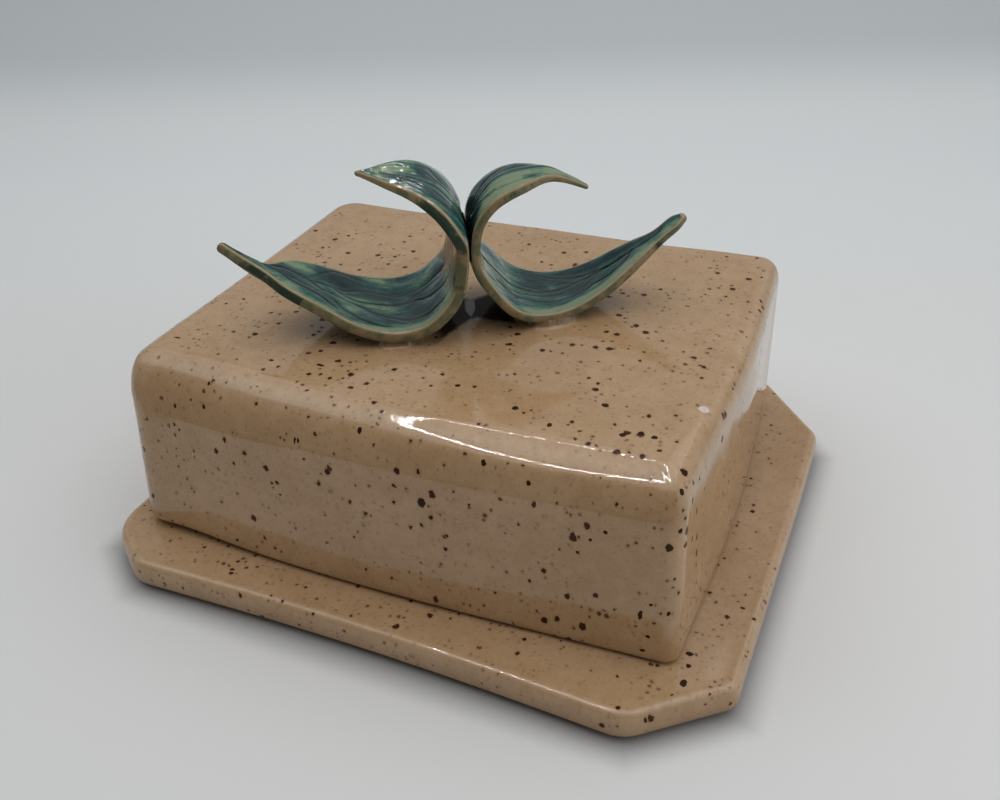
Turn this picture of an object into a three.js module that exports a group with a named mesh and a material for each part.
// Slab-built stoneware butter dish: an eight-sided tray, a box lid that lifts
// straight off it, and a handle on the lid made of two curled clay leaves
// standing back to back.
//
// Millimetres, +Z up. The origin is on the table under the middle of the
// tray's footprint, +X runs along the tray's long side, +Y points to the back.
import * as THREE from 'three';

// ---------------------------------------------------------------- dimensions
const GAP = 0.3;                // clearance between neighbouring clay pieces

const TRAY_TOP = 8.95;          // flat of the tray
const TRAY_RIDGE = 9.13;        // rounded ridge round the tray's edge
const TRAY_UNDERSIDE = 1.0;     // underside of the rim, lifted off the table
const TRAY_FOOT_INSET = 7.0;    // flat foot starts this far in from the edge

const LID_RIM_Z = TRAY_TOP + GAP;
const LID_TOP_Z = 59.03;
const LID_WALL = 6.0;           // slab thickness of the walls
const LID_CEILING = 6.4;        // slab thickness of the top
const LID_TOP_ROUND = 6.0;      // rounding between the top and the walls
const LID_ROUND_ANGLES = [0, 22, 45, 68, 90];   // degrees, from wall to top

const FLAT_RING_INSET = 30;     // extra ring of points on the flat tops
const MIDDLE_RING_INSET = 20;   // ring whose mean point is a solid's middle

// Corners as [x, y, radius], front left first and anticlockwise.
const LID_FOOTPRINT = [
  [-79.7, -61.0, 8.0], [70.9, -58.4, 4.0], [66.9, 65.4, 6.0], [-80.8, 61.6, 9.0],
];
const LID_SHOULDER = [
  [-79.9, -55.8, 7.0], [68.5, -54.0, 4.5], [66.2, 65.6, 6.0], [-80.9, 60.4, 9.0],
];
const TRAY_OUTLINE = [
  [-71.0, -75.2, 9.0], [64.4, -76.5, 10.0], [85.5, -58.4, 5.0], [85.3, 50.6, 6.0],
  [65.4, 75.6, 5.0], [-67.0, 74.8, 7.0], [-86.0, 57.0, 8.0], [-86.0, -63.4, 13.0],
];
// Outward bow of each side at its middle, front side first and anticlockwise.
const LID_BOW = [1.9, 2.2, -0.4, -0.6];
const TRAY_BOW = [-2.1, 0.0, 0.1, 0.0, 0.3, 0.0, 0.2, 0.0];

const HANDLE_ANGLE = THREE.MathUtils.degToRad(30);   // leaves run on this line
const HANDLE_X = -5.1;          // where the two leaves meet, seen from above
const HANDLE_Y = -2.0;
const SEAM_CLEAR = 0.55;        // half the gap between the backs of the leaves

// Stations run along each leaf's centre line, lower tip to upper tip, as
// [distance out from the seam, height above the lid, reach forward, reach back].
// side: -1 left, 1 right. shift: how far back the whole leaf sits.
// slipFrom, slipTo: ends of the slip pad, measured out from the seam.
const LEFT_LEAF = {
  side: -1,
  thickness: 3.8,
  shift: 0,
  slipFrom: 12.5,
  slipTo: 28,
  stations: [
    [62.3, 24.2, 1.2, 0.6], [57.9, 21.2, 2.6, 0.4], [53.3, 18.2, 4.3, 0.2],
    [49.8, 16.1, 6.6, 3.4], [46.1, 14.0, 9.3, 8.6], [39.4, 10.6, 12.1, 12.0],
    [32.7, 6.7, 14.3, 14.3], [26.7, 4.2, 15.7, 15.7], [19.8, 2.95, 16.7, 16.7],
    [12.3, 4.4, 17.1, 17.1], [7.7, 7.5, 17.0, 17.0], [4.4, 11.3, 16.4, 16.4],
    [2.7, 16.2, 16.1, 16.1], [2.1, 21.8, 16.8, 16.8], [2.2, 26.3, 18.0, 18.0],
    [3.7, 29.9, 18.5, 18.5], [7.5, 34.5, 15.5, 15.5], [13.6, 37.9, 10.5, 10.5],
    [19.1, 39.4, 6.5, 6.5], [23.0, 40.1, 3.0, 3.0], [26.5, 40.7, 0.9, 0.9],
  ],
};
const RIGHT_LEAF = {
  side: 1,
  thickness: 3.1,
  shift: 2.2,
  slipFrom: 14,
  slipTo: 30,
  stations: [
    [57.2, 22.0, 1.2, 1.2], [52.1, 18.7, 3.5, 3.5], [46.0, 13.6, 6.0, 6.0],
    [39.2, 8.9, 8.6, 8.6], [33.0, 5.2, 10.3, 10.3], [26.3, 2.95, 12.1, 12.1],
    [19.2, 2.65, 13.8, 13.8], [13.4, 4.4, 15.4, 15.4], [9.9, 6.9, 16.3, 16.3],
    [6.8, 10.2, 16.2, 16.2], [3.6, 14.2, 14.4, 14.4], [2.0, 17.6, 12.6, 12.6],
    [1.8, 21.6, 11.2, 11.2], [2.9, 27.1, 10.4, 10.4], [6.4, 32.2, 9.9, 9.9],
    [11.5, 35.3, 9.3, 9.3], [16.7, 36.5, 7.0, 7.0], [22.9, 36.4, 3.2, 3.2],
    [31.4, 32.8, 1.1, 1.1],
  ],
};

// ------------------------------------------------------------------ materials
const ceramic = ({ color, roughness }) =>
  new THREE.MeshStandardMaterial({ color, roughness, metalness: 0 });
const speckledGlaze = () => ceramic({ color: 0xb48f68, roughness: 0.22 });
const leftLeafGlaze = () => ceramic({ color: 0x3f6f63, roughness: 0.2 });
const rightLeafGlaze = () => ceramic({ color: 0x4a7a6a, roughness: 0.2 });
const padClay = () => ceramic({ color: 0x9a7550, roughness: 0.5 });
const seamClay = () => ceramic({ color: 0x4b4334, roughness: 0.5 });

// ------------------------------------------------------------ stacked outlines
// Where the lines of two neighbouring sides cross.
function crossing(first, second) {
  const cross = first.direction.clone().cross(second.direction);
  const between = second.start.clone().sub(first.start);
  const distance = between.cross(second.direction) / cross;
  return first.start.clone().addScaledVector(first.direction, distance);
}

// Points of the arc that rounds the corner between two sides.
function cornerArc(before, after, radius, steps) {
  const cosTurn = THREE.MathUtils.clamp(before.direction.dot(after.direction), -1, 1);
  const turn = Math.acos(cosTurn);
  const centre = crossing(before, after)
    .addScaledVector(before.direction, -radius * Math.tan(turn / 2))
    .addScaledVector(before.outward, -radius);
  const startAngle = Math.atan2(before.outward.y, before.outward.x);
  return Array.from({ length: steps + 1 }, (_, k) => {
    const angle = startAngle + (turn * k) / steps;
    return new THREE.Vector2(
      centre.x + radius * Math.cos(angle),
      centre.y + radius * Math.sin(angle),
    );
  });
}

// A rounded polygon walked anticlockwise, moved inward by `inset`. Every call
// with the same counts returns the same number of points in the same order.
function roundedOutline({ corners, bow, inset, arcSteps, sideSteps, minRadius }) {
  const count = corners.length;
  const sides = corners.map(([x, y], i) => {
    const [nextX, nextY] = corners[(i + 1) % count];
    const direction = new THREE.Vector2(nextX - x, nextY - y).normalize();
    const outward = new THREE.Vector2(direction.y, -direction.x);
    const start = new THREE.Vector2(x, y).addScaledVector(outward, -inset);
    return { direction, outward, start };
  });
  const arcs = corners.map(([, , cornerRadius], i) => {
    const radius = Math.max(cornerRadius - inset, minRadius);
    return cornerArc(sides[(i + count - 1) % count], sides[i], radius, arcSteps);
  });
  return arcs.flatMap((arc, i) => {
    const points = [...arc];
    const from = arc[arcSteps];
    const to = arcs[(i + 1) % count][0];
    for (let k = 1; k < sideSteps; k++) {
      const t = k / sideSteps;
      const bulge = bow[i] * Math.sin(Math.PI * t);
      points.push(from.clone().lerp(to, t).addScaledVector(sides[i].outward, bulge));
    }
    return points;
  });
}

// A solid of stacked outlines: a lathe turned about +Z whose rings are moved
// onto the outline that belongs to each profile point. Profile points are
// [inset, z], and null stands for the axis.
function stackedSolid(upwardProfile, outlineAt) {
  const profile = [...upwardProfile].reverse();      // the lathe needs it top to bottom
  const middleRing = outlineAt(MIDDLE_RING_INSET, 0);
  const count = middleRing.length;
  const middle = new THREE.Vector2();
  middleRing.forEach((point) => middle.addScaledVector(point, 1 / count));

  // The lathe supplies only the triangles, so any radius will do.
  const lathe = new THREE.LatheGeometry(profile.map(([, z]) => new THREE.Vector2(1, z)), count);
  const rings = profile.map(([inset, z]) => (inset === null ? null : outlineAt(inset, z)));
  for (let i = 0; i <= count; i++) {
    profile.forEach(([, z], j) => {
      const point = rings[j] ? rings[j][(count - i) % count] : middle;
      lathe.attributes.position.setXYZ(i * profile.length + j, point.x, point.y, z);
    });
  }
  return lathe;
}

function trayGeometry() {
  const outlineAt = (inset) => roundedOutline({
    corners: TRAY_OUTLINE, bow: TRAY_BOW, inset, arcSteps: 3, sideSteps: 4, minRadius: 0.6,
  });
  return stackedSolid([
    // foot and the slope up to the rim's underside
    [null, 0], [TRAY_FOOT_INSET, 0],
    [TRAY_FOOT_INSET - 1.3, 0.35], [TRAY_FOOT_INSET - 2.6, TRAY_UNDERSIDE],
    // rounded outer edge
    [2.4, TRAY_UNDERSIDE + 0.1], [0.8, TRAY_UNDERSIDE + 0.7], [0.1, TRAY_UNDERSIDE + 2.0],
    [-0.1, 4.8], [0.1, 7.3], [0.7, 8.7],
    // ridge and flat
    [1.6, TRAY_RIDGE], [3.4, TRAY_TOP], [FLAT_RING_INSET, TRAY_TOP], [null, TRAY_TOP],
  ], outlineAt);
}

function lidOutline(inset, z) {
  const rise = THREE.MathUtils.clamp((z - LID_RIM_Z) / (LID_TOP_Z - LID_RIM_Z), 0, 1);
  const corners = LID_FOOTPRINT.map((corner, i) =>
    corner.map((value, k) => value + (LID_SHOULDER[i][k] - value) * rise));
  return roundedOutline({
    corners, bow: LID_BOW, inset, arcSteps: 5, sideSteps: 8, minRadius: 1.2,
  });
}

function lidGeometry() {
  const ceiling = LID_TOP_Z - LID_CEILING;
  const topRound = LID_ROUND_ANGLES.map((degrees) => {
    const angle = THREE.MathUtils.degToRad(degrees);
    return [
      LID_TOP_ROUND * (1 - Math.cos(angle)),
      LID_TOP_Z - LID_TOP_ROUND * (1 - Math.sin(angle)),
    ];
  });
  return stackedSolid([
    // ceiling, then down the inside of the wall
    [null, ceiling], [40, ceiling], [LID_WALL + 3, ceiling],
    [LID_WALL + 0.8, ceiling - 1.0], [LID_WALL, ceiling - 3.2], [LID_WALL, LID_RIM_Z + 1.6],
    // rim
    [LID_WALL - 1.2, LID_RIM_Z + 0.25], [LID_WALL - 2.4, LID_RIM_Z],
    [1.5, LID_RIM_Z], [0.4, LID_RIM_Z + 0.5], [0, LID_RIM_Z + 1.8],
    // outside of the wall and the top
    [0, 30], ...topRound, [FLAT_RING_INSET, LID_TOP_Z], [null, LID_TOP_Z],
  ], lidOutline);
}

// --------------------------------------------------------------- handle frame
// `out` runs out from the seam to the given side, `back` across the leaf to
// the back, and `height` is measured up from the lid.
const ALONG = new THREE.Vector3(Math.cos(HANDLE_ANGLE), Math.sin(HANDLE_ANGLE), 0);
const ACROSS = new THREE.Vector3(-Math.sin(HANDLE_ANGLE), Math.cos(HANDLE_ANGLE), 0);

// Moves each vertex to the handle-frame place `locate` gives for it.
function layOnHandle(geometry, side, locate) {
  const { position } = geometry.attributes;
  for (let i = 0; i < position.count; i++) {
    const { out, back, height } = locate(position.getX(i), position.getY(i), position.getZ(i));
    const point = new THREE.Vector3(HANDLE_X, HANDLE_Y, LID_TOP_Z + height)
      .addScaledVector(ALONG, side * out)
      .addScaledVector(ACROSS, back);
    position.setXYZ(i, point.x, point.y, point.z);
  }
  if (side < 0) flipFaces(geometry);      // mirroring turned the faces inside out
  return geometry;
}

function flipFaces({ index }) {
  for (let i = 0; i < index.count; i += 3) {
    const first = index.getX(i);
    index.setX(i, index.getX(i + 1));
    index.setX(i + 1, first);
  }
}

// --------------------------------------------------------------------- leaves
const LEAF_STEPS = 44;
const TIP_THICKNESS = 0.62;     // thickness at the tips, as a share of the full one
const TIP_TAPER = 0.16;         // share of the centre line over which a tip thins
// Slab section with rounded edges, as [across: -1 front .. 1 back,
// through: -1 side facing the lid and seam .. 1 hollow side of the curl].
const LEAF_SECTION = [
  [-1, 0], [-0.93, -0.78], [-0.8, -1], [-0.3, -1], [0.3, -1], [0.8, -1], [0.93, -0.78],
  [1, 0], [0.93, 0.78], [0.8, 1], [0.3, 1], [-0.3, 1], [-0.8, 1], [-0.93, 0.78],
];

// Smooth centre line through the stations. The normal points to the hollow side.
function centreLine(stations) {
  const spline = (points) => new THREE.CatmullRomCurve3(points, false, 'catmullrom', 0.5);
  const path = spline(stations.map(([out, height]) => new THREE.Vector3(out, height, 0)));
  const reach = spline(stations.map(([, , front, back]) => new THREE.Vector3(front, back, 0)));
  return (t) => {
    const { x: out, y: height } = path.getPoint(t);
    const tangent = path.getTangent(t);
    const { x: front, y: back } = reach.getPoint(t);
    return { out, height, normalOut: tangent.y, normalUp: -tangent.x, front, back };
  };
}

// One leaf: a closed cylinder whose sections are squashed to the slab section
// and laid along the centre line.
function leafGeometry({ stations, side, thickness, shift }) {
  const lineAt = centreLine(stations);
  const sectionCount = LEAF_SECTION.length;
  const cylinder = new THREE.CylinderGeometry(1, 1, 1, sectionCount, LEAF_STEPS, false);
  const sectionPoint = (x, z) => {
    if (Math.hypot(x, z) < 0.5) return [0, 0];      // centre of an end cap
    const turns = Math.atan2(x, z) / (2 * Math.PI);
    return LEAF_SECTION[Math.round(turns * sectionCount + sectionCount) % sectionCount];
  };
  return layOnHandle(cylinder, side, (x, y, z) => {
    const t = THREE.MathUtils.clamp(0.5 - y, 0, 1);
    const line = lineAt(t);
    const fullness = Math.min(1, Math.min(t, 1 - t) / TIP_TAPER);
    const halfThickness = 0.5 * thickness * (TIP_THICKNESS + (1 - TIP_THICKNESS) * fullness);
    const [across, through] = sectionPoint(x, z);
    const depth = through * halfThickness;
    const middle = 0.5 * (line.back - line.front);
    const halfWidth = 0.5 * (line.back + line.front);
    return {
      out: Math.max(line.out + depth * line.normalOut, SEAM_CLEAR),
      back: shift + middle + across * halfWidth,
      height: line.height + depth * line.normalUp,
    };
  });
}

// ----------------------------------------------------------------------- slip
const UNDERSIDE_START = 0.15;   // part of the centre line that is searched for
const UNDERSIDE_SPAN = 0.4;     // the leaf's underside
const UNDERSIDE_STEPS = 240;
const LOW_STATION = 8;          // stations below this height limit the pad's width
const PAD_INSET = 1.5;          // from the leaf's edge to the pad's edge
const PAD_MIN_THICKNESS = 0.3;

const SEAM_SLIP = { width: 17, height: 9.5, middleBack: 0.8, middleHeight: 21.5 };

// The pad of slip that fills the wedge between a leaf's curled underside and
// the top of the lid.
function slipPadGeometry({ stations, side, thickness, shift, slipFrom, slipTo }) {
  const lineAt = centreLine(stations);
  const underside = Array.from({ length: UNDERSIDE_STEPS + 1 }, (_, k) => {
    const line = lineAt(UNDERSIDE_START + (UNDERSIDE_SPAN * k) / UNDERSIDE_STEPS);
    return {
      out: line.out - 0.5 * thickness * line.normalOut,
      height: line.height - 0.5 * thickness * line.normalUp,
    };
  });
  const undersideHeight = (out) => underside.reduce((best, point) =>
    (Math.abs(point.out - out) < Math.abs(best.out - out) ? point : best)).height;

  const reaches = stations
    .filter(([out, height]) => out > slipFrom && out < slipTo && height < LOW_STATION)
    .map(([, , front]) => front);
  const halfWidth = Math.min(...reaches) - PAD_INSET;

  return layOnHandle(new THREE.BoxGeometry(1, 1, 1, 12, 4, 1), side, (x, y, z) => {
    const out = slipFrom + (x + 0.5) * (slipTo - slipFrom);
    const height = z > 0
      ? Math.max(undersideHeight(out) - GAP, GAP + PAD_MIN_THICKNESS)
      : GAP;
    return { out, back: shift + 2 * y * halfWidth, height };
  });
}

// Thin layer of slip between the backs of the two leaves.
function seamSlipGeometry() {
  const { width, height, middleBack, middleHeight } = SEAM_SLIP;
  const box = new THREE.BoxGeometry(2 * (SEAM_CLEAR - GAP), width, height, 1, 3, 3);
  return layOnHandle(box, 1, (x, y, z) => (
    { out: x, back: middleBack + y, height: middleHeight + z }
  ));
}

// ------------------------------------------------------------------- assembly
function named(name, geometry, material) {
  geometry.deleteAttribute('normal');
  geometry.deleteAttribute('uv');
  geometry.computeVertexNormals();
  const mesh = new THREE.Mesh(geometry, material);
  mesh.name = name;
  return mesh;
}

const butterDish = new THREE.Group();
butterDish.add(named('tray', trayGeometry(), speckledGlaze()));

const lidGroup = new THREE.Group();     // everything that lifts off together
lidGroup.add(
  named('lid', lidGeometry(), speckledGlaze()),
  named('left_leaf', leafGeometry(LEFT_LEAF), leftLeafGlaze()),
  named('right_leaf', leafGeometry(RIGHT_LEAF), rightLeafGlaze()),
  named('left_leaf_slip', slipPadGeometry(LEFT_LEAF), padClay()),
  named('right_leaf_slip', slipPadGeometry(RIGHT_LEAF), padClay()),
  named('leaf_seam_slip', seamSlipGeometry(), seamClay()),
);
butterDish.add(lidGroup);

export default butterDish;
